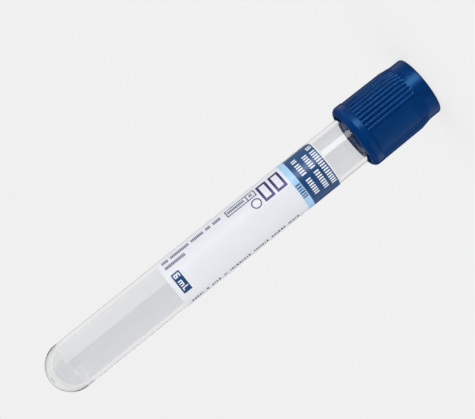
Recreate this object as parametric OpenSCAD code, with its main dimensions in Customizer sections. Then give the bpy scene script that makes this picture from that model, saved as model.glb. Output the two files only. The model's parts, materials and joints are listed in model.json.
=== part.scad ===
// Blood collection tube: a clear round-bottomed tube with a wrapped label, closed by a rubber
// stopper that sits in a ribbed plastic safety cap.
// A closed tube rolls when it lies down, so it stands here the one way it can: on its cap.
// Every piece is drawn on the tube's axis with the round end's tip at z = 0 and the front of the
// label towards +X, and stand() then turns it over onto the cap, with that front towards -Y.

/* [Tube] */
// Outer diameter of the tube
tube_d = 12.2; // [10:0.1:16]
// Thickness of the tube's wall
tube_wall = 1.0; // [0.7:0.05:1.4]
// Length of the tube from the round end's tip to its rim
tube_length = 100; // [75:1:125]
// Thickness of the round end at its tip
base_thickness = 1.6; // [0.8:0.1:3]
// Diameter of the small flat that the moulding gate leaves on the tip
gate_d = 2.2; // [1:0.1:4]
// Radial step where the round end meets the straight wall
parting_step = 0.04; // [0.01:0.01:0.1]
// Rounding of the tube's rim
rim_round = 0.3; // [0.1:0.05:0.45]

/* [Label] */
// Height of the label along the tube
label_height = 45; // [20:0.5:50]
// Distance from the cap's open edge to the label's upper edge
label_below_cap = 8.4; // [2:0.1:12]
// How far round the tube the label goes, in degrees
label_wrap = 300; // [280:5:340]
// Where the label starts, in degrees round from the front
label_start = -72; // [-150:1:0]
// Thickness of the label
label_thickness = 0.12; // [0.06:0.01:0.2]
// Thickness of the adhesive under the label
adhesive = 0.04; // [0.01:0.01:0.06]
// Radius of the label's corners
label_corner = 1.8; // [0.5:0.1:3]

/* [Cap] */
// Height of the cap
cap_height = 20.2; // [19:0.1:26]
// Length of tube that the cap's skirt covers
cap_cover = 11.5; // [9:0.1:12]
// Gap between the tube and the inside of the skirt
skirt_gap = 0.5; // [0.4:0.05:1]
// Thickness of the skirt's wall at the collar
skirt_wall = 1.66; // [1.3:0.01:2.2]
// Width of the flat left on the skirt's open edge, inside its rounding
lip_flat = 0.2; // [0.05:0.01:0.6]
// Height of the collar's straight wall above that rounding
collar_wall_height = 1.25; // [0.3:0.05:2]
// Height of the slope from the collar up to the grip
ledge_height = 0.15; // [0.1:0.05:1]
// Radial drop from the collar to the foot of the grip
ledge_drop = 0.02; // [0.02:0.01:0.2]
// Radial taper of the grip from its foot to its shoulder
grip_taper = 0.12; // [0:0.01:0.25]
// Height of the shoulder between the grip and the plain top band
shoulder_height = 2.95; // [1:0.05:4]
// Radial drop of the shoulder
shoulder_drop = 0.58; // [0.2:0.01:0.6]
// Height of the plain top band
band_height = 3; // [1.5:0.1:5]
// Rounding of the cap's top edge
band_round = 0.6; // [0.2:0.05:1]
// Diameter of the needle port in the cap's top
port_d = 8.8; // [6:0.1:9.4]
// Depth of the needle port down to the stopper
port_depth = 3.3; // [2:0.1:4]
// Chamfer round the mouth of the needle port
port_chamfer = 0.35; // [0.1:0.05:0.6]

/* [Grip] */
// Number of rib groups round the cap, with a smooth panel after each
rib_groups = 3; // [2:1:4]
// Number of ribs in a group
ribs_in_group = 9; // [4:1:10]
// Angle from one rib to the next, in degrees
rib_pitch = 8.2; // [7:0.1:9.5]
// Where the first group ends, in degrees round from the front
ribs_end = 8.4; // [-60:0.1:60]
// Width of the groove between two ribs
groove_width = 0.5; // [0.3:0.05:0.7]
// Depth of the grooves at the foot of the grip
groove_depth = 0.66; // [0.3:0.02:0.7]
// Height of the grooves' lower ends above the ledge
groove_foot = 0.1; // [0.05:0.05:1]
// How far the smooth panels lie below the ribs
panel_recess = 0.14; // [0.05:0.01:0.25]
// Height of the panels' lower edge above the ledge
panel_foot = 0.15; // [0.05:0.05:1]

/* [Stopper] */
// Length of the plug that goes into the tube
plug_length = 11.1; // [6:0.1:14]
// Running clearance of the plug in the tube, on the radius
plug_clearance = 0.04; // [0.02:0.01:0.08]
// Chamfer at the plug's lower edge
plug_chamfer = 0.5; // [0.2:0.1:1]
// Thickness of the rubber round the cavity in the plug's lower end
plug_wall = 1.9; // [1.2:0.1:3]
// Depth of the cavity in the plug's lower end
cavity_depth = 6; // [1:0.5:8]
// Gap between the stopper's head and the skirt round it
head_gap = 0.05; // [0.02:0.01:0.1]
// Gap between the stopper's head and the tube's rim, and under the needle port
seat_gap = 0.02; // [0.01:0.01:0.05]
// Diameter of the shallow dish in the stopper's top
dish_d = 6.4; // [3:0.1:8]
// Depth of the dish
dish_depth = 1.1; // [0.3:0.1:2]
// Height of the bead inside the cap that holds the stopper's head
bead_height = 0.8; // [0.4:0.05:1.2]
// Gap between the bead and the tube
bead_gap = 0.2; // [0.15:0.01:0.35]

/* [Hidden] */
$fn = 96;
past = 1; // how far a cutter reaches past what it cuts

tube_r = tube_d / 2;
bore_r = tube_r - tube_wall;
dome_r = tube_r - parting_step;
gate_flat = dome_r - sqrt(pow(dome_r, 2) - pow(gate_d / 2, 2));
dome_z = dome_r - gate_flat; // centre of the round end
bore_z = base_thickness + bore_r; // centre of the bore's round end

rim_z = tube_length - cap_cover; // the cap's open edge
label_r = tube_r + adhesive;
label_z = rim_z - label_below_cap - label_height;
corner_lap = 0.02;

skirt_r = tube_r + skirt_gap;
collar_r = skirt_r + skirt_wall;
grip_r = collar_r - ledge_drop;
lip_round = skirt_wall - lip_flat;
collar_z = lip_round + collar_wall_height;
grip_z = collar_z + ledge_height;
shoulder_r = grip_r - grip_taper;
band_r = shoulder_r - shoulder_drop;
band_z = cap_height - band_height;
shoulder_z = band_z - shoulder_height;
port_z = cap_height - port_depth;
bead_r = tube_r + bead_gap;
bead_z = cap_cover - seat_gap - bead_height;

groove_floor_r = grip_r - groove_depth;
group_angle = ribs_in_group * rib_pitch;
period = 360 / rib_groups;
panel_angle = period - group_angle;

plug_r = bore_r - plug_clearance;
head_r = skirt_r - head_gap;
cavity_r = plug_r - plug_wall;
head_z = port_z - seat_gap; // top of the stopper's head above the cap's open edge
cavity_round = min(cavity_r, cavity_depth) / 2;

total_length = rim_z + cap_height;

module stand() {
    translate([0, 0, total_length])
        rotate([180, 0, -90])
            children();
}

// Half sections are drawn with x as the radius and y along the axis.
module tube_outside() {
    straight = tube_length - dome_z;
    translate([0, dome_z]) {
        circle(dome_r);
        square([tube_r, straight - rim_round]);
        square([tube_r - rim_round, straight]);
        translate([tube_r - rim_round, straight - rim_round])
            circle(rim_round);
    }
}

module tube_bore() {
    translate([0, bore_z]) {
        circle(bore_r);
        square([bore_r, tube_length]);
    }
}

// The corner at the origin cuts the round end flat at the gate.
module tube_section() {
    intersection() {
        difference() {
            tube_outside();
            tube_bore();
        }
        square([tube_r, tube_length]);
    }
}

module tube() {
    color([0.84, 0.86, 0.89, 0.4])
        stand()
            rotate_extrude()
                tube_section();
}

// What is cut from one corner of the label to round it, seen along the radius. The arc is a touch
// larger than the corner, so that it meets the label's edges at a slight angle.
module corner_cutter() {
    translate([tube_r / 2, 0, 0])
        rotate([90, 0, 90])
            linear_extrude(tube_r)
                difference() {
                    translate([-past, -past])
                        square(label_corner + past);
                    translate([label_corner, label_corner])
                        circle(label_corner + corner_lap);
                }
}

module label() {
    color([0.92, 0.93, 0.96])
        stand()
            rotate([0, 0, label_start])
                translate([0, 0, label_z])
                    difference() {
                        rotate_extrude(angle = label_wrap)
                            translate([label_r, 0])
                                square([label_thickness, label_height]);
                        for (top = [0, 1], side = [0, 1])
                            rotate([0, 0, side * label_wrap])
                                translate([0, 0, top * label_height])
                                    mirror([0, side, 0])
                                        mirror([0, 0, top])
                                            corner_cutter();
                    }
}

module cap_outside() {
    translate([collar_r - lip_round, lip_round])
        circle(lip_round);
    translate([band_r - band_round, cap_height - band_round])
        circle(band_round);
    polygon([
        [0, 0],
        [collar_r - lip_round, 0],
        [collar_r, lip_round],
        [collar_r, collar_z],
        [grip_r, grip_z],
        [shoulder_r, shoulder_z],
        [band_r, band_z],
        [band_r, cap_height - band_round],
        [band_r - band_round, cap_height],
        [0, cap_height]
    ]);
}

module cap_inside() {
    bead_slope = skirt_r - bead_r;
    polygon([
        [0, -past],
        [skirt_r, -past],
        [skirt_r, bead_z - bead_slope],
        [bead_r, bead_z],
        [bead_r, bead_z + bead_height - bead_slope],
        [skirt_r, bead_z + bead_height],
        [skirt_r, port_z],
        [port_d / 2, port_z],
        [port_d / 2, cap_height - port_chamfer],
        [port_d / 2 + port_chamfer + past, cap_height + past],
        [0, cap_height + past]
    ]);
}

module cap_shell() {
    rotate_extrude()
        difference() {
            cap_outside();
            cap_inside();
        }
}

// One groove: a straight slot with a round floor, which runs out into the shoulder
module groove() {
    floor_round = groove_width / 2;
    translate([groove_floor_r + floor_round, 0, grip_z + groove_foot])
        linear_extrude(band_z - grip_z - groove_foot) {
            circle(floor_round);
            translate([0, -floor_round])
                square([groove_depth + past, groove_width]);
        }
}

// What is cut away over one smooth panel; it runs out where the shoulder meets the top band
module panel() {
    foot_z = grip_z + panel_foot;
    foot_r = grip_r - grip_taper * panel_foot / (shoulder_z - grip_z) - panel_recess;
    rotate_extrude(angle = panel_angle)
        polygon([
            [foot_r, foot_z],
            [shoulder_r - panel_recess, shoulder_z],
            [band_r, band_z],
            [collar_r + past, band_z],
            [collar_r + past, foot_z]
        ]);
}

module cap() {
    color([0.05, 0.22, 0.47])
        stand()
            translate([0, 0, rim_z])
                difference() {
                    cap_shell();
                    for (group = [0 : rib_groups - 1])
                        rotate([0, 0, ribs_end + group * period]) {
                            panel();
                            for (rib = [1 : ribs_in_group - 1])
                                rotate([0, 0, -rib * rib_pitch])
                                    groove();
                        }
                }
}

module stopper_section() {
    difference() {
        polygon([
            [0, cap_cover - plug_length],
            [plug_r - plug_chamfer, cap_cover - plug_length],
            [plug_r, cap_cover - plug_length + plug_chamfer],
            [plug_r, cap_cover + seat_gap],
            [head_r, cap_cover + seat_gap],
            [head_r, head_z],
            [dish_d / 2, head_z],
            [dish_d / 2 - dish_depth, head_z - dish_depth],
            [0, head_z - dish_depth]
        ]);
        translate([0, cap_cover - plug_length - past]) {
            square([cavity_r, cavity_depth + past - cavity_round]);
            square([cavity_r - cavity_round, cavity_depth + past]);
            translate([cavity_r - cavity_round, cavity_depth + past - cavity_round])
                circle(cavity_round);
        }
    }
}

module stopper() {
    color([0.12, 0.15, 0.18])
        stand()
            translate([0, 0, rim_z])
                rotate_extrude()
                    stopper_section();
}

tube();
label();
cap();
stopper();
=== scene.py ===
import json
import math
import random

import bpy
import numpy as np
from mathutils import Matrix, Vector


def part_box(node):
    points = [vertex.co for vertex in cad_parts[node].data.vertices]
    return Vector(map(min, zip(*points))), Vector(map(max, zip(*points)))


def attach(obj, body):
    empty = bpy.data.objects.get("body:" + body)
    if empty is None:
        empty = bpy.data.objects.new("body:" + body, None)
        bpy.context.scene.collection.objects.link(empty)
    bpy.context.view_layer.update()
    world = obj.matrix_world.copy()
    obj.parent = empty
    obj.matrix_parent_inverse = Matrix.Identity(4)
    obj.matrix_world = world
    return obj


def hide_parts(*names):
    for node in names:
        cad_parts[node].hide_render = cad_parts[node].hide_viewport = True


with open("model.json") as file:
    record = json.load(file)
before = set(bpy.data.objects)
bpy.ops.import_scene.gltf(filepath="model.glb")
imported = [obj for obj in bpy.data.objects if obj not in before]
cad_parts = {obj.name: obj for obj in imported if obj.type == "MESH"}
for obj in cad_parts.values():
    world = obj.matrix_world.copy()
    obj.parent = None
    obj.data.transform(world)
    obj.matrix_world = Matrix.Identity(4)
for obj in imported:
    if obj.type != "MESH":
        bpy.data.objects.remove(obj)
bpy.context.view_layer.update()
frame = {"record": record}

# Sizes are in mm: r from the tube's axis, h above the surface that the closed tube stands on.
# Angles are in degrees round the axis from the front of the label (-Y), towards -X.
MM = 0.001
mounts = {m["name"]: m for m in frame["record"]["mounts"]}


def span(node):
    low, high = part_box(node)
    return low.z / MM, high.z / MM


RIM_H, TIP_H = span("tube")
LABEL_LOW, LABEL_HIGH = span("label")
EDGE_H = span("cap")[1]  # the cap's open edge
HEAD_H, PLUG_H = span("stopper")
COLLAR_R = mounts["cap_collar"]["dims"]["r_mm"]
LABEL_R = mounts["rack_sleeve"]["dims"]["r_mm"]
PORT_R = mounts["needle_port"]["dims"]["r_mm"]


def srgb(*values):
    """A colour given as it looks on a screen, 0 to 255, in the linear form that shaders take."""
    out = []
    for v in values:
        c = v / 255
        out.append(c / 12.92 if c <= 0.04045 else ((c + 0.055) / 1.055) ** 2.4)
    return (*out, 1.0)


# ---------------------------------------------------------------- geometry

def arc(r, h, radius, start, end, steps):
    """Points on an arc in the half section; 0 degrees points outward and 90 up."""
    turns = np.radians(np.linspace(start, end, steps))
    return [(r + radius * math.cos(t), h + radius * math.sin(t)) for t in turns]


def put(r, angle, h):
    """The place of a point at radius r, angle and height h, in metres."""
    a = np.radians(angle)
    return np.stack([-r * np.sin(a), -r * np.cos(a), h * np.ones_like(a)], -1) * MM


def make_mesh(name, verts, faces, sharp=35):
    mesh = bpy.data.meshes.new(name)
    mesh.from_pydata([tuple(v) for v in verts], [], faces)
    mesh.update()
    mesh.shade_smooth()
    mesh.set_sharp_from_angle(angle=math.radians(sharp))
    piece = bpy.data.objects.new(name, mesh)
    bpy.context.scene.collection.objects.link(piece)
    return piece


def turned(name, rows, angles, sharp=35):
    """A closed solid from rows of (r, h); r and h are numbers, or arrays with one value an angle.
    A first or last row with r = 0 is a point on the axis. Without them the rows close on
    themselves."""
    n = len(angles)
    verts, rings = [], []
    for r, h in rows:
        if np.isscalar(r) and r == 0:
            rings.append([len(verts)])
            verts.append((0, 0, h * MM))
        else:
            rings.append(list(range(len(verts), len(verts) + n)))
            verts.extend(put(r * np.ones(n), angles, h * np.ones(n)))
    if len(rings[0]) > 1:
        rings.append(rings[0])
    faces = []
    for a, b in zip(rings, rings[1:]):
        for i in range(n):
            j = (i + 1) % n
            if len(a) == 1:
                faces.append((a[0], b[j], b[i]))
            elif len(b) == 1:
                faces.append((a[i], a[j], b[0]))
            else:
                faces.append((a[i], a[j], b[j], b[i]))
    return make_mesh(name, verts, faces, sharp)


def even(n):
    return np.arange(n) * 360 / n


# ---------------------------------------------------------------- tube
TUBE_R = 6.1
BORE_R = 5.1
PARTING_STEP = 0.04  # the round end is this much narrower than the tube, where the mould parts
GATE_R = 1.1  # the flat at the tip, where the plastic came in
BASE = 1.6
RIM_ROUND = 0.3
RIM_ROUND_INSIDE = 0.1


def make_tube():
    dome_r = TUBE_R - PARTING_STEP
    dome_h = TIP_H - math.sqrt(dome_r ** 2 - GATE_R ** 2)
    gate_angle = math.degrees(math.acos(GATE_R / dome_r))
    bore_h = TIP_H - BASE - BORE_R
    rows = [(0, TIP_H), (GATE_R * 0.6, TIP_H)]
    rows += arc(0, dome_h, dome_r, gate_angle, 0, 40)
    # the step out where the mould parts, then the straight wall
    rows += [(TUBE_R - 0.01, dome_h - 0.01), (TUBE_R, dome_h - 0.05)]
    rows += [(TUBE_R, h) for h in np.linspace(dome_h - 0.1, RIM_H + RIM_ROUND, 24)]
    rows += arc(TUBE_R - RIM_ROUND, RIM_H + RIM_ROUND, RIM_ROUND, 0, -90, 8)[1:]
    rows += arc(BORE_R + RIM_ROUND_INSIDE, RIM_H + RIM_ROUND_INSIDE, RIM_ROUND_INSIDE, -90, -180, 4)
    rows += [(BORE_R, h) for h in np.linspace(RIM_H + RIM_ROUND, bore_h, 24)]
    rows += arc(0, bore_h, BORE_R, 0, 90, 32)[1:-1]
    rows += [(0, bore_h + BORE_R)]
    return turned("clear_tube", rows, even(192), 30)


# ---------------------------------------------------------------- label
LABEL_THICK = 0.12
LABEL_START = -72
LABEL_WRAP = 300
LABEL_CORNER = 1.8
INK_IN = 0.004  # how far ink reaches into the film
INK_OUT = 0.012  # and how far it stands proud
PLATE_STEP = 2.5  # degrees between the columns of a curved plate, at most
CORNER_STEPS = 13
RING_STEPS = 36


def corner_inset(d, radius):
    """How far a rounded corner is set in at a distance d from the end."""
    return radius - math.sqrt(max(0, radius ** 2 - max(0, radius - d) ** 2))


def plate(low, high, start, end, inner, outer, corners=0.0):
    """The points and faces of a curved plate on the tube, between two heights, two angles and two
    radii. Its corners are rounded by corners: one radius for all, or one each for (low start,
    low end, high start, high end)."""
    if np.isscalar(corners):
        corners = (corners,) * 4
    hs = {low, high}
    for c, at, sign in ((max(corners[:2]), low, 1), (max(corners[2:]), high, -1)):
        if c > 0:
            turns = np.radians(np.linspace(0, 90, CORNER_STEPS))
            hs |= {at + sign * c * (1 - math.cos(t)) for t in turns}
    hs = sorted(hs)
    cols = max(2, int(math.ceil((end - start) / PLATE_STEP)) + 1)
    t = np.linspace(0, 1, cols)
    deg = math.degrees(1 / outer)
    verts = []
    for h in hs:
        a = start + deg * max(corner_inset(h - low, corners[0]), corner_inset(high - h, corners[2]))
        b = end - deg * max(corner_inset(h - low, corners[1]), corner_inset(high - h, corners[3]))
        angles = a + (b - a) * t
        verts.extend(put(outer * np.ones(cols), angles, h * np.ones(cols)))
        verts.extend(put(inner * np.ones(cols), angles, h * np.ones(cols)))
    faces = []
    last = len(hs) - 1
    for k in range(last):
        o, p = k * 2 * cols, (k + 1) * 2 * cols
        for i in range(cols - 1):
            faces.append((o + i, p + i, p + i + 1, o + i + 1))
            faces.append((o + cols + i, o + cols + i + 1, p + cols + i + 1, p + cols + i))
        faces.append((o, o + cols, p + cols, p))
        e = cols - 1
        faces.append((o + e, p + e, p + cols + e, o + cols + e))
    for i in range(cols - 1):
        faces.append((i, i + 1, cols + i + 1, cols + i))
        o = last * 2 * cols
        faces.append((o + i, o + cols + i, o + cols + i + 1, o + i + 1))
    return verts, faces


def make_label():
    verts, faces = plate(LABEL_LOW, LABEL_HIGH, LABEL_START, LABEL_START + LABEL_WRAP,
                         LABEL_R - LABEL_THICK, LABEL_R, LABEL_CORNER)
    return make_mesh("label_film", verts, faces, 40)


class Ink:
    """Marks of one colour, gathered into one piece. Places are in mm on the label: x round the tube
    from the front, negative towards the side where the label starts, and y from the cap's end of
    the label towards the tube's round end."""

    DEG = math.degrees(1 / LABEL_R)  # degrees in a mm along x

    def __init__(self, name, lift=0.0):
        self.name, self.verts, self.faces = name, [], []
        self.inner, self.outer = LABEL_R - INK_IN + lift, LABEL_R + INK_OUT + lift

    def bar(self, x0, x1, y0, y1, corners=0.0):
        verts, faces = plate(LABEL_LOW + y0, LABEL_LOW + y1, x0 * self.DEG, x1 * self.DEG,
                             self.inner, self.outer, corners)
        base = len(self.verts)
        self.verts += [tuple(v) for v in verts]
        self.faces += [tuple(base + i for i in f) for f in faces]

    def frame(self, x0, x1, y0, y1, line):
        self.bar(x0, x1, y0, y0 + line)
        self.bar(x0, x1, y1 - line, y1)
        self.bar(x0, x0 + line, y0 + line, y1 - line)
        self.bar(x1 - line, x1, y0 + line, y1 - line)

    def ring(self, x, y, radius, line):
        base = len(self.verts)
        t = np.radians(even(RING_STEPS))
        for depth in (self.inner, self.outer):
            for rad in (radius, radius - line):
                points = put(depth * np.ones(RING_STEPS), (x + rad * np.cos(t)) * self.DEG,
                             LABEL_LOW + y + rad * np.sin(t))
                self.verts += [tuple(v) for v in points]
        # below, wide and narrow, then above, wide and narrow
        a, b, c, d = (base + k * RING_STEPS for k in range(4))
        for i in range(RING_STEPS):
            j = (i + 1) % RING_STEPS
            self.faces += [(c + i, c + j, d + j, d + i), (a + i, b + i, b + j, a + j),
                           (a + i, a + j, c + j, c + i), (b + i, d + i, d + j, b + j)]

    def words(self, along, start, low, high, sizes, gap=0.5, tick=0.28, step=0.44):
        """A line of plain even ticks in place of lettering, in groups as long as sizes says. It
        runs from start up along x or down along y, and is as tall as from low to high."""
        at = start
        way = 1 if along == "x" else -1
        for size in sizes:
            for k in range(max(1, round(size / step))):
                a, b = sorted((at + way * k * step, at + way * (k * step + tick)))
                if along == "y":
                    self.bar(low, high, a, b)
                else:
                    self.bar(a, b, low, high)
            at += way * (size + gap)

    def build(self):
        return make_mesh(self.name, self.verts, self.faces, 40)


FIELD_BORDER = 0.35  # white left round the navy field
FIELD_END = 7.8
STRIPE_END = 9.45
WHITE_LIFT = 0.01  # white ink lies on the navy ink
WHITE_GAP, WHITE_TICK, WHITE_STEP = 0.6, 0.36, 0.66
SQUARE_LINE = 0.62
SQUARE_ENDS = (13.7, 16.5), (10.2, 13.0)
BOX_LINE = 0.24
BOX_SPAN = -6.4, -4.2
BOX_WORDS = -5.72, -4.88
SMALL_START = 1.3  # from the far end of the label to its first small print
FAR_PRINT = 6.9, 7.65
FAR_PRINT_END = 12


def make_print():
    top = LABEL_HIGH - LABEL_LOW
    side = math.radians(LABEL_START) * LABEL_R
    far = math.radians(LABEL_START + LABEL_WRAP) * LABEL_R
    # the navy field at the cap's end, and the volume's
    navy = Ink("label_field")
    navy.bar(side + FIELD_BORDER, far - FIELD_BORDER, FIELD_BORDER, FIELD_END,
             (LABEL_CORNER - FIELD_BORDER,) * 2 + (0, 0))
    navy.bar(-1.85, 3.55, top - 3.52, top - 1.27)
    pale = Ink("label_stripe")
    pale.bar(side, far, FIELD_END, STRIPE_END)
    violet = Ink("label_marks")
    # two lines of small print beside the volume
    violet.words("y", top - SMALL_START, -6.15, -5.2, (1.8, 5.3, 3.6, 1.4, 2.3), 0.66)
    violet.words("y", top - SMALL_START, -4.35, -3.5, (5.6,))
    # a ruled box with a division, and a ring
    violet.frame(*BOX_SPAN, 17.05, 25.4, BOX_LINE)
    violet.bar(*BOX_SPAN, 19.3, 19.3 + BOX_LINE)
    violet.words("y", 24.9, *BOX_WORDS, (4.9,))
    violet.words("y", 18.7, *BOX_WORDS, (0.9,))
    violet.ring(-2.45, 18.4, 1.27, 0.28)
    # two open squares
    for ends in SQUARE_ENDS:
        violet.frame(-6.15, -1.3, *ends, SQUARE_LINE)
    # a word's place in the pale stripe
    violet.words("x", 0.05, 7.95, 9.3, (3.7,), tick=0.4, step=WHITE_STEP)
    # small print along the far side
    rnd = random.Random(5)
    y = top - 1.6
    while y > FAR_PRINT_END:
        size = rnd.uniform(0.2, 0.55)
        violet.bar(*FAR_PRINT, y - size, y)
        y -= size + rnd.choice((0.2, 0.3, 0.3, 1.1))
    # three lines of words' places in the field
    white = Ink("label_white_marks", lift=WHITE_LIFT)
    for x, low, high, sizes in ((-6.0, 0.65, 2.0, (1.3, 10.0)), (-4.4, 2.75, 4.05, (4.0, 5.6)),
                                (-5.4, 5.3, 6.6, (1.1, 3.6, 4.6))):
        white.words("x", x, low, high, sizes, WHITE_GAP, WHITE_TICK, WHITE_STEP)
    volume(white, -1.4, top - 3.17, 1.5)
    return navy.build(), pale.build(), violet.build(), white.build()


def volume(ink, x, head, size):
    """The volume, 6 mL, in plain strokes. It reads along x, and the letters' heads face the cap."""
    foot = head + size
    line = size * 0.19
    # a six: its stem, foot, head, middle bar and bowl's side
    wide = size * 0.62
    middle = head + size * 0.42
    ink.bar(x, x + line, head, foot)
    ink.bar(x, x + wide, foot - line, foot)
    ink.bar(x, x + wide, head, head + line)
    ink.bar(x, x + wide, middle, middle + line)
    ink.bar(x + wide - line, x + wide, middle, foot)
    x += wide + size * 0.5
    # a small m
    low = head + size * 0.32
    m_wide = size * 0.95
    ink.bar(x, x + m_wide, low, low + line)
    for k in (0, 0.5, 1):
        stem = x + k * (m_wide - line)
        ink.bar(stem, stem + line, low, foot)
    x += m_wide + size * 0.22
    # a capital L
    ink.bar(x, x + line, head, foot)
    ink.bar(x, x + wide * 0.8, foot - line, foot)


# ---------------------------------------------------------------- cap
CAP_COVER = 11.5
SKIRT_R = 6.6
LIP_ROUND = 1.46
COLLAR_WALL = 1.25
LEDGE_HEIGHT = 0.15
LEDGE_DROP = 0.02
LEDGE_LINE = 0.06  # depth of the line round the cap between the collar and the ribs
LEDGE_EASE = 0.04
GRIP_TAPER = 0.12
SHOULDER_HEIGHT = 2.95
SHOULDER_DROP = 0.58
BAND_HEIGHT = 3.0
BAND_ROUND = 0.6
PORT_DEPTH = 3.3
PORT_CHAMFER = 0.35
BEAD_GAP = 0.2
BEAD_HEIGHT = 0.8
SKIRT_EDGE_ROUND = 0.06
SEAT_GAP = 0.02
GROUPS = 3
RIBS = 9
PITCH = 8.2  # degrees from rib to rib
GROUP = RIBS * PITCH
PERIOD = 360 / GROUPS
RIBS_END = 7.4  # where the first group ends
GROOVE_WIDTH = 0.5
GROOVE_DEPTH = 0.48
GROOVE_HALF = 0.24
GROOVE_POWER = 2.2  # a groove's floor rises to its sides with this power
CREST = 0.27  # how far a rib's sides are below its crest
PANEL_RECESS = 0.14
PANEL_RAMP = 0.14
PANEL_RAMP_START = 0.05
RUN_IN = 0.12  # height over which the grooves and panels start
CREST_END = 1.5  # a rib's round crest runs out from here, below the band
CREST_FADE = 1.1
EDGE_SOFTNESS = 0.05
NO_CUT = 99.0  # a radius that cuts nothing
GRIP_R = COLLAR_R - LEDGE_DROP
SHOULDER_R = GRIP_R - GRIP_TAPER
BAND_R = SHOULDER_R - SHOULDER_DROP
# distances from the open edge
COLLAR_Z = LIP_ROUND + COLLAR_WALL
GRIP_Z = COLLAR_Z + LEDGE_HEIGHT
BAND_Z = EDGE_H - BAND_HEIGHT
SHOULDER_Z = BAND_Z - SHOULDER_HEIGHT
FOOT_Z = GRIP_Z + 0.08


def cap_columns():
    """Angles round the cap, closest where the grooves and the panels' edges are."""
    half = math.degrees(GROOVE_WIDTH / 2 / GRIP_R)
    # in halves of a groove's width, then in degrees from a group's end onto the panel
    over_groove = (-1.9, -1.45, -1.15, -0.9, -0.6, -0.3, 0, 0.3, 0.6, 0.9, 1.15, 1.45, 1.9)
    over_edge = (-1.6, -1.0, -0.6, -0.3, 0, 0.3, 0.6, 1.0, 1.6, 2.4)
    margin = 4
    panel = PERIOD - GROUP
    marks = []
    for g in range(GROUPS):
        end = RIBS_END + g * PERIOD
        for k in range(1, RIBS):
            marks += [end - k * PITCH + half * u for u in over_groove]
        for k in range(RIBS):
            marks.append(end - (k + 0.5) * PITCH)
        for edge, way in ((end, 1), (end - GROUP, -1)):
            marks += [edge + way * v for v in over_edge]
        marks += list(np.linspace(end + margin, end + panel - margin, 20))
    return np.array(sorted(m % 360 for m in marks))


def smooth(t):
    t = np.clip(t, 0, 1)
    return t * t * (3 - 2 * t)


def smooth_min(a, b, k):
    h = np.clip(0.5 + 0.5 * (b - a) / k, 0, 1)
    return b * (1 - h) + a * h - k * h * (1 - h)


def plain_radius(z):
    """The cap's outside, apart from its ribs, at a distance z from the open edge."""
    zs = [0, COLLAR_Z - 0.08, COLLAR_Z + 0.12, GRIP_Z + LEDGE_EASE, SHOULDER_Z, BAND_Z, EDGE_H]
    rs = [COLLAR_R, COLLAR_R, GRIP_R - LEDGE_LINE, GRIP_R, SHOULDER_R, BAND_R, BAND_R]
    return float(np.interp(z, zs, rs))


def cap_radius(z, angles):
    """The outside with its ribs, grooves and panels."""
    arc_mm = math.radians(1) * GRIP_R  # arc length of a degree
    # angle back from the end of the group that a column belongs to: up to GROUP it is on the ribs
    back = np.mod(RIBS_END - angles, PERIOD)
    # arc from the nearest end of the group, positive on the panel
    edge = np.where(back < (GROUP + PERIOD) / 2, back - GROUP, PERIOD - back)
    edge = np.where(back < GROUP / 2, -back, edge) * arc_mm
    run_in = smooth((z - FOOT_Z) / RUN_IN)
    fade = 1 - smooth((z - SHOULDER_Z) / (BAND_Z - SHOULDER_Z))
    recess = smooth((edge + PANEL_RAMP_START) / PANEL_RAMP) * run_in * fade
    out = plain_radius(z) - PANEL_RECESS * recess
    # a groove has a round floor at one radius, so it runs out where the shoulder falls to it
    k = np.round(back / PITCH)
    across = np.abs(back - k * PITCH) * arc_mm
    cut = (k >= 1) & (k <= RIBS - 1) & (edge < 0)
    floor = GRIP_R - GROOVE_DEPTH
    slot = floor + GROOVE_DEPTH * (across / GROOVE_HALF) ** GROOVE_POWER
    slot = np.maximum(slot, floor + (1 - run_in) * 2 * GROOVE_DEPTH)
    slot = np.where(cut, slot, NO_CUT)
    # between two grooves a rib's crest is a little round
    off = np.abs(back / PITCH - np.floor(back / PITCH) - 0.5) * 2
    crest = np.where(edge < 0, CREST * off ** 2, 0) * run_in
    crest = crest * (1 - smooth((z - BAND_Z + CREST_END) / CREST_FADE))
    return smooth_min(out - crest, slot, EDGE_SOFTNESS)


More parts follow.
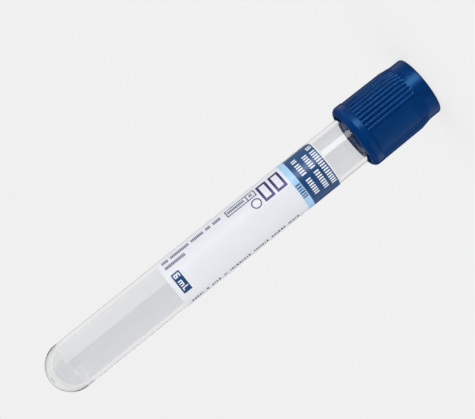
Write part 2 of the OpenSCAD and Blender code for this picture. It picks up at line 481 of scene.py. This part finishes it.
def make_cap():
    angles = cap_columns()
    lip_r = COLLAR_R - LIP_ROUND
    rows = [(r, EDGE_H - z) for r, z in arc(lip_r, LIP_ROUND, LIP_ROUND, -90, 0, 16)]
    # down the outside from the collar to the band
    zs = [LIP_ROUND + 0.4] + [COLLAR_Z + d for d in (-0.3, -0.12, -0.08, 0, 0.08, 0.12)]
    zs += list(np.linspace(GRIP_Z + LEDGE_EASE, FOOT_Z + 0.14, 7)) + [FOOT_Z + 0.25, FOOT_Z + 0.6]
    zs += list(np.linspace(FOOT_Z + 1.4, SHOULDER_Z - 0.8, 8))
    zs += list(np.linspace(SHOULDER_Z - 0.4, BAND_Z + 0.3, 30)) + [BAND_Z + 0.8, BAND_Z + 1.6]
    rows += [(cap_radius(z, angles), EDGE_H - z) for z in zs]
    # the flat top, the needle port and the inside up to the open edge; rows close to a corner keep
    # its shading crisp
    rows += arc(BAND_R - BAND_ROUND, BAND_ROUND, BAND_ROUND, 0, -90, 12)
    rows += [(BAND_R - 1.2, 0.0), (PORT_R + PORT_CHAMFER + 0.05, 0.0)]
    rows += [(PORT_R + PORT_CHAMFER, 0.02)]
    rows += [(PORT_R, PORT_CHAMFER), (PORT_R, PORT_CHAMFER + 0.1), (PORT_R, PORT_DEPTH)]
    bead_r = TUBE_R + BEAD_GAP
    slope = SKIRT_R - bead_r
    bead_h = EDGE_H - (CAP_COVER - SEAT_GAP - BEAD_HEIGHT)
    rows += [(SKIRT_R, PORT_DEPTH), (SKIRT_R, PORT_DEPTH + 0.2), (SKIRT_R, bead_h - BEAD_HEIGHT)]
    rows += [(bead_r, bead_h - BEAD_HEIGHT + slope), (bead_r, bead_h)]
    rows += [(SKIRT_R, bead_h + slope), (SKIRT_R, EDGE_H - 2 * SKIRT_EDGE_ROUND)]
    rows += arc(SKIRT_R + SKIRT_EDGE_ROUND, EDGE_H - SKIRT_EDGE_ROUND, SKIRT_EDGE_ROUND,
                180, 90, 4)
    return turned("ribbed_cap", rows, angles, 38)


# ---------------------------------------------------------------- stopper
PLUG_R = 5.06
HEAD_R = 6.55
PLUG_CHAMFER = 0.5
CAVITY_R = 3.16
CAVITY_DEPTH = 6.0
CAVITY_ROUND = 1.58
CAVITY_EDGE_ROUND = 0.15
DISH_R = 3.2
DISH_DEPTH = 1.1
DISH_ROUND = 0.2
HEAD_ROUND = 0.15
SEAT_ROUND = 0.1


def make_stopper():
    seat = EDGE_H - CAP_COVER - SEAT_GAP  # the tube's rim rests here
    dish_h = HEAD_H + DISH_DEPTH
    rows = [(0, dish_h), (1.0, dish_h)]
    rows += arc(DISH_R - DISH_DEPTH - DISH_ROUND, dish_h - DISH_ROUND, DISH_ROUND, 90, 45, 4)
    rows += [(DISH_R, HEAD_H), (DISH_R + 0.6, HEAD_H)]
    rows += arc(HEAD_R - HEAD_ROUND, HEAD_H + HEAD_ROUND, HEAD_ROUND, -90, 0, 5)
    rows += arc(HEAD_R - SEAT_ROUND, seat - SEAT_ROUND, SEAT_ROUND, 0, 90, 4)
    rows += [(PLUG_R + SEAT_ROUND, seat), (PLUG_R, seat + SEAT_ROUND)]
    rows += [(PLUG_R, h) for h in np.linspace(seat + 0.3, PLUG_H - PLUG_CHAMFER - 0.1, 10)]
    rows += arc(PLUG_R - PLUG_CHAMFER, PLUG_H - PLUG_CHAMFER, PLUG_CHAMFER, 0, 90, 8)
    rows += arc(CAVITY_R + CAVITY_EDGE_ROUND, PLUG_H - CAVITY_EDGE_ROUND, CAVITY_EDGE_ROUND,
                90, 180, 4)
    cavity_h = PLUG_H - CAVITY_DEPTH + CAVITY_ROUND
    rows += [(CAVITY_R, cavity_h + 0.5)]
    rows += arc(CAVITY_R - CAVITY_ROUND, cavity_h, CAVITY_ROUND, 0, -90, 12)
    rows += [(0, cavity_h - CAVITY_ROUND)]
    return turned("rubber_stopper", rows, even(128), 38)


# ---------------------------------------------------------------- materials

def new_material(name):
    mat = bpy.data.materials.new(name)
    mat.use_nodes = True
    nodes = mat.node_tree.nodes
    return mat, nodes, mat.node_tree.links, nodes["Principled BSDF"]


def grey(v):
    return (v, v, v, 1)


def math_node(nodes, links, operation, a, b=None):
    """The result of a sum on numbers or sockets."""
    node = nodes.new("ShaderNodeMath")
    node.operation = operation
    for socket, value in zip(node.inputs, (a, b)):
        if value is None:
            continue
        if isinstance(value, (int, float)):
            socket.default_value = value
        else:
            links.new(value, socket)
    return node.outputs[0]


def step_up(nodes, links, value, low, high, bottom=0.0, top=1.0):
    """A smooth step from bottom to top as value goes from low to high."""
    node = nodes.new("ShaderNodeMapRange")
    node.interpolation_type = "SMOOTHSTEP"
    links.new(value, node.inputs["Value"])
    for socket, v in (("From Min", low), ("From Max", high), ("To Min", bottom), ("To Max", top)):
        node.inputs[socket].default_value = v
    return node.outputs["Result"]


def mixed(nodes, links, share, first, second):
    """A mix of two shaders: share, a number or a socket, is how much there is of the second."""
    mix = nodes.new("ShaderNodeMixShader")
    if isinstance(share, (int, float)):
        mix.inputs[0].default_value = share
    else:
        links.new(share, mix.inputs[0])
    links.new(first.outputs[0], mix.inputs[1])
    links.new(second.outputs[0], mix.inputs[2])
    return mix


def to_output(nodes, links, shader, output="Material Output"):
    links.new(shader.outputs[0], nodes[output].inputs["Surface"])


def grain(nodes, links, bsdf, scale, distance, strength, detail=3.0, stretch=(1, 1, 1)):
    """A fine bump from noise fixed to the piece. Gives the noise and the place it is read at."""
    coord = nodes.new("ShaderNodeTexCoord")
    size = nodes.new("ShaderNodeMapping")
    size.inputs["Scale"].default_value = stretch
    noise = nodes.new("ShaderNodeTexNoise")
    noise.inputs["Scale"].default_value = scale
    noise.inputs["Detail"].default_value = detail
    bump = nodes.new("ShaderNodeBump")
    bump.inputs["Distance"].default_value = distance
    bump.inputs["Strength"].default_value = strength
    links.new(coord.outputs["Object"], size.inputs["Vector"])
    links.new(size.outputs["Vector"], noise.inputs["Vector"])
    links.new(noise.outputs["Fac"], bump.inputs["Height"])
    links.new(bump.outputs["Normal"], bsdf.inputs["Normal"])
    return noise.outputs["Fac"], size.outputs["Vector"]


def ramp(nodes, links, source, low, low_colour, high, high_colour):
    """A colour that goes from one to another as source goes from low to high."""
    node = nodes.new("ShaderNodeValToRGB")
    for point, at, colour in zip(node.color_ramp.elements, (low, high), (low_colour, high_colour)):
        point.position = at
        point.color = colour
    links.new(source, node.inputs["Fac"])
    return node.outputs["Color"]


CAP_GRAIN = 2600
CAP_CLOUD = 240
GRIP_MATT = 0.07  # the grip is this much rougher than the collar and the band
LIP_MATT = 0.7  # how much of the gloss the rounded lip lacks


def cap_plastic():
    mat, nodes, links, bsdf = new_material("cap_plastic")
    noise, at = grain(nodes, links, bsdf, CAP_GRAIN, 0.00002, 0.4)
    cloud = nodes.new("ShaderNodeTexNoise")
    cloud.inputs["Scale"].default_value = CAP_CLOUD
    links.new(at, cloud.inputs["Vector"])
    tint = ramp(nodes, links, cloud.outputs["Fac"], 0.3, srgb(0, 44, 98), 0.7, srgb(0, 48, 106))
    links.new(tint, bsdf.inputs["Base Color"])
    rough = ramp(nodes, links, noise, 0.2, grey(0.24), 0.8, grey(0.34))
    place = nodes.new("ShaderNodeSeparateXYZ")
    links.new(at, place.inputs[0])
    h = place.outputs["Z"]

    def rise(low, high, bottom=0.0, top=1.0):
        """A step over heights given as distances from the cap's open edge."""
        return step_up(nodes, links, h, (EDGE_H - low) * MM, (EDGE_H - high) * MM, bottom, top)

    matt = math_node(nodes, links, "MULTIPLY", rise(BAND_Z - 0.6, BAND_Z - 2.2),
                     rise(GRIP_Z + 0.2, GRIP_Z, GRIP_MATT, 0))
    links.new(math_node(nodes, links, "ADD", rough, matt), bsdf.inputs["Roughness"])
    bsdf.inputs["IOR"].default_value = 1.5
    bsdf.inputs["Specular IOR Level"].default_value = 0.42
    bsdf.inputs["Specular Tint"].default_value = (0.2, 0.6, 1.0, 1)
    # a matt grain takes most of the sheen from the cap's outline and from its rounded lip
    weight = nodes.new("ShaderNodeLayerWeight")
    weight.inputs["Blend"].default_value = 0.5
    dull = nodes.new("ShaderNodeBsdfDiffuse")
    links.new(tint, dull.inputs["Color"])
    links.new(bsdf.inputs["Normal"].links[0].from_socket, dull.inputs["Normal"])
    outline = step_up(nodes, links, weight.outputs["Facing"], 0.62, 0.9)
    lip = rise(LIP_ROUND + 0.1, LIP_ROUND - 0.3, 0, LIP_MATT)
    share = math_node(nodes, links, "MAXIMUM", outline, lip)
    to_output(nodes, links, mixed(nodes, links, share, bsdf, dull))
    return mat


FILM_GRAIN = 1500
FILM_BUMP = 0.00001
FILM_BUMP_STRENGTH = 0.3
FILM_CLEARNESS = 0.2  # the share of light that passes through the film


def label_film():
    mat, nodes, links, bsdf = new_material("label_film")
    noise, _ = grain(nodes, links, bsdf, FILM_GRAIN, FILM_BUMP, FILM_BUMP_STRENGTH)
    tint = ramp(nodes, links, noise, 0.3, srgb(243, 245, 250), 0.7, srgb(246, 248, 253))
    links.new(tint, bsdf.inputs["Base Color"])
    bsdf.inputs["Roughness"].default_value = 0.42
    bsdf.inputs["Specular IOR Level"].default_value = 0.35
    through = nodes.new("ShaderNodeBsdfTranslucent")
    links.new(tint, through.inputs["Color"])
    to_output(nodes, links, mixed(nodes, links, FILM_CLEARNESS, bsdf, through))
    return mat


def ink(name, colour):
    mat, nodes, links, bsdf = new_material(name)
    noise, _ = grain(nodes, links, bsdf, FILM_GRAIN, FILM_BUMP, FILM_BUMP_STRENGTH)
    dark = tuple(c * 0.94 for c in colour[:3]) + (1.0,)
    links.new(ramp(nodes, links, noise, 0.35, dark, 0.65, colour), bsdf.inputs["Base Color"])
    bsdf.inputs["Roughness"].default_value = 0.35
    return mat


def rubber():
    mat, nodes, links, bsdf = new_material("rubber")
    noise, _ = grain(nodes, links, bsdf, 1800, 0.00004, 0.6)
    # The rubber itself is dark grey. The blue in this colour, and in the gloss's tint below, is a
    # painted reflection of the blue cap around it.
    tint = ramp(nodes, links, noise, 0.3, srgb(4, 54, 100), 0.7, srgb(12, 66, 116))
    links.new(tint, bsdf.inputs["Base Color"])
    rough = ramp(nodes, links, noise, 0.2, grey(0.5), 0.8, grey(0.65))
    links.new(rough, bsdf.inputs["Roughness"])
    bsdf.inputs["Specular Tint"].default_value = (0.5, 0.75, 1.0, 1)
    return mat


COATING = (0.815, 0.822, 0.842, 1)  # the bore has a thin dry coating, which takes a little light
WALL_TINT = (0.935, 0.938, 0.945, 1)
WALL_TURNS = 4.5  # light that the wall would carry along for ever leaves it after so many turns
DOME_TURNS = 3.5  # and sooner in the round end
TURNS_CHANGE = 8.5, 6.5  # distances from the tip between which one goes over into the other


def clear_plastic():
    mat, nodes, links, bsdf = new_material("clear_plastic")
    grain(nodes, links, bsdf, 90, 0.00006, 0.07, 1.0, (1, 1, 0.25))
    # how far a place is from the axis, or in the round end from the middle of the bore's end
    coord = nodes.new("ShaderNodeTexCoord")
    place = nodes.new("ShaderNodeSeparateXYZ")
    from_axis = nodes.new("ShaderNodeCombineXYZ")
    reach = nodes.new("ShaderNodeVectorMath")
    reach.operation = "LENGTH"
    links.new(coord.outputs["Object"], place.inputs[0])
    x, y, h = place.outputs
    above = math_node(nodes, links, "SUBTRACT", h, (TIP_H - BASE - BORE_R) * MM)
    above = math_node(nodes, links, "MAXIMUM", above, 0.0)
    for part, socket in zip((x, y, above), from_axis.inputs):
        links.new(part, socket)
    links.new(from_axis.outputs[0], reach.inputs[0])
    depth = step_up(nodes, links, reach.outputs["Value"], (BORE_R + 0.1) * MM, (BORE_R + 0.6) * MM)
    links.new(ramp(nodes, links, depth, 0, COATING, 1, WALL_TINT), bsdf.inputs["Base Color"])
    bsdf.inputs["Roughness"].default_value = 0.03
    bsdf.inputs["IOR"].default_value = 1.42
    bsdf.inputs["Transmission Weight"].default_value = 1.0
    # lamps shine through the wall, so that it casts only a faint shadow
    path = nodes.new("ShaderNodeLightPath")
    straight = nodes.new("ShaderNodeBsdfTransparent")
    straight.inputs["Color"].default_value = grey(0.9)
    change = [(TIP_H - d) * MM for d in TURNS_CHANGE]
    turns = step_up(nodes, links, h, *change, WALL_TURNS, DOME_TURNS)
    lost = math_node(nodes, links, "GREATER_THAN", path.outputs["Ray Depth"], turns)
    share = math_node(nodes, links, "MAXIMUM", path.outputs["Is Shadow Ray"], lost)
    to_output(nodes, links, mixed(nodes, links, share, bsdf, straight))
    return mat


# ---------------------------------------------------------------- the part
def dress(piece, mat, body, node=None):
    piece.data.materials.append(mat)
    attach(piece, body)
    if node:
        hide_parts(node)


dress(make_tube(), clear_plastic(), "vial", "tube")
dress(make_label(), label_film(), "vial", "label")
navy, pale, violet, white = make_print()
dress(navy, ink("navy_ink", srgb(8, 66, 118)), "vial")
dress(pale, ink("light_blue_ink", srgb(166, 208, 242)), "vial")
dress(violet, ink("violet_ink", srgb(32, 24, 98)), "vial")
dress(white, ink("white_ink", srgb(236, 239, 245)), "vial")
dress(make_cap(), cap_plastic(), "closure", "cap")
dress(make_stopper(), rubber(), "closure", "stopper")

# ---------------------------------------------------------------- setting
scene = bpy.context.scene
BACKDROP = srgb(240, 240, 240)
FLOOR_GLOW = srgb(241.3, 241.3, 241.3)  # with the floor's own light this looks like BACKDROP
FLOOR_GLOW_SHARE = 0.8
FLOOR_R = 3000
FLOOR_SIDES = 64
AMBIENT = 0.93
# strengths of what the gloss reflects
WALL = 2.9
HIGH_WALL = 1.9
SOFT_WALL = 0.6
SILL = 1.1
WINDOW = 7.2
FAR_WALL = 0.35
SIDE_WALLS = 0.42
ROOM = 0.03
KEY_ENERGY = 0.68
KEY_ANGLE = 45
KEY_FROM = (0.08, -0.6, 0.13)


def link(obj):
    scene.collection.objects.link(obj)
    return obj


def aim(obj, place, target, spin=0.0):
    """Stands obj at place, looking at target, then turns it about its own line of sight."""
    look = (Vector(target) - Vector(place)).to_track_quat("-Z", "Y").to_matrix().to_4x4()
    roll = Matrix.Rotation(math.radians(spin), 4, "Z")
    obj.matrix_world = Matrix.Translation(place) @ look @ roll


def seen_direct(nodes, links):
    """1 for rays that come from the camera or through the clear plastic."""
    path = nodes.new("ShaderNodeLightPath")
    return math_node(nodes, links, "MAXIMUM", path.outputs["Is Camera Ray"],
                     path.outputs["Is Transmission Ray"])


def seen_in_gloss(nodes):
    """1 for rays that a gloss reflects."""
    return nodes.new("ShaderNodeLightPath").outputs["Is Glossy Ray"]


def make_world():
    """An even grey light, with a pale backdrop all round. What the gloss reflects is a studio: a
    white wall to one side with a tall bright window in it, a soft wall to the other side, and a
    dark room beyond."""
    world = bpy.data.worlds.new("studio")
    scene.world = world
    world.use_nodes = True
    nodes, links = world.node_tree.nodes, world.node_tree.links
    even_light = nodes["Background"]
    even_light.inputs["Color"].default_value = grey(AMBIENT)
    backdrop = nodes.new("ShaderNodeBackground")
    backdrop.inputs["Color"].default_value = BACKDROP
    studio = nodes.new("ShaderNodeBackground")
    studio.inputs["Color"].default_value = grey(1)
    coord = nodes.new("ShaderNodeTexCoord")
    way = nodes.new("ShaderNodeSeparateXYZ")
    links.new(coord.outputs["Generated"], way.inputs[0])
    x, y, z = way.outputs
    # degrees round from the front towards +X
    front = math_node(nodes, links, "MULTIPLY", y, -1.0)
    turn = math_node(nodes, links, "ARCTAN2", x, front)
    turn = math_node(nodes, links, "MULTIPLY", turn, math.degrees(1))
    away = math_node(nodes, links, "ABSOLUTE", turn)

    def both(a, b):
        return math_node(nodes, links, "MULTIPLY", a, b)

    def band(value, *edges):
        """Rises over the first two edges and falls over the last two."""
        return both(step_up(nodes, links, value, *edges[:2]),
                    step_up(nodes, links, value, *edges[2:], 1, 0))

    def card(strength, across, up):
        """A soft-edged rectangle of light, across by turn and up by z."""
        return both(both(band(turn, *across), band(z, *up)), strength)

    lights = [
        card(WALL, (17, 25, 90, 125), (-0.05, 0.02, 0.13, 0.19)),
        card(HIGH_WALL, (35, 60, 90, 125), (0.13, 0.19, 0.8, 0.95)),
        card(SILL, (17, 25, 50, 92), (-0.17, -0.14, -0.05, 0.02)),
        card(WINDOW, (17, 22, 42, 50), (-0.9, -0.7, -0.05, -0.01)),
        card(SOFT_WALL, (-135, -100, -60, -25), (-0.3, -0.2, 0.5, 0.8)),
        card(FAR_WALL, (95, 120, 200, 201), (-0.15, -0.13, 0.13, 0.19)),
        both(band(away, 100, 118, 136, 152), SIDE_WALLS),
        # the pale backdrop behind the part
        both(step_up(nodes, links, away, 160, 176, 0, BACKDROP[0]), band(z, -0.5, -0.2, 0.2, 0.5)),
    ]
    strength = ROOM
    for light in lights:
        strength = math_node(nodes, links, "ADD", strength, light)
    links.new(strength, studio.inputs["Strength"])
    lighting = mixed(nodes, links, seen_in_gloss(nodes), even_light, studio)
    whole = mixed(nodes, links, seen_direct(nodes, links), lighting, backdrop)
    to_output(nodes, links, whole, "World Output")


def make_floor():
    """A plain pale floor, which looks like the backdrop and keeps the part's soft shadow."""
    edge = put(FLOOR_R * np.ones(FLOOR_SIDES), even(FLOOR_SIDES), np.zeros(FLOOR_SIDES))
    verts = [(0, 0, 0)] + [tuple(p) for p in edge]
    faces = [(0, 1 + (i + 1) % FLOOR_SIDES, 1 + i) for i in range(FLOOR_SIDES)]
    mesh = bpy.data.meshes.new("floor")
    mesh.from_pydata(verts, [], faces)
    floor = link(bpy.data.objects.new("floor", mesh))
    mat, nodes, links, bsdf = new_material("floor")
    bsdf.inputs["Base Color"].default_value = grey(0.9)
    bsdf.inputs["Roughness"].default_value = 0.9
    glow = nodes.new("ShaderNodeEmission")
    glow.inputs["Color"].default_value = FLOOR_GLOW
    seen = math_node(nodes, links, "MAXIMUM", seen_direct(nodes, links), seen_in_gloss(nodes))
    share = math_node(nodes, links, "MULTIPLY", seen, FLOOR_GLOW_SHARE)
    to_output(nodes, links, mixed(nodes, links, share, bsdf, glow))
    mesh.materials.append(mat)
    floor.visible_glossy = False


make_world()
make_floor()
key = link(bpy.data.objects.new("key", bpy.data.lights.new("key", "SUN")))
key.data.energy = KEY_ENERGY
key.data.angle = math.radians(KEY_ANGLE)
key.visible_camera = key.visible_glossy = key.visible_transmission = False
aim(key, KEY_FROM, (0, 0, 0))

# The camera stands square to the tube, opposite a point nearer its round end, and looks a little
# towards the cap.
AIM_H = 50.96
EYE_H = 64.7
SIDE = 4.0
DISTANCE = 316.0
SPIN = -128.76
LENS = 104.53
camera = link(bpy.data.objects.new("camera", bpy.data.cameras.new("camera")))
camera.data.sensor_width = 36
camera.data.lens = LENS
camera.data.clip_start = 0.01
aim(camera, Vector((SIDE, -DISTANCE, EYE_H)) * MM, Vector((SIDE, 0, AIM_H)) * MM, SPIN)
scene.camera = camera
scene.view_settings.view_transform = "Standard"
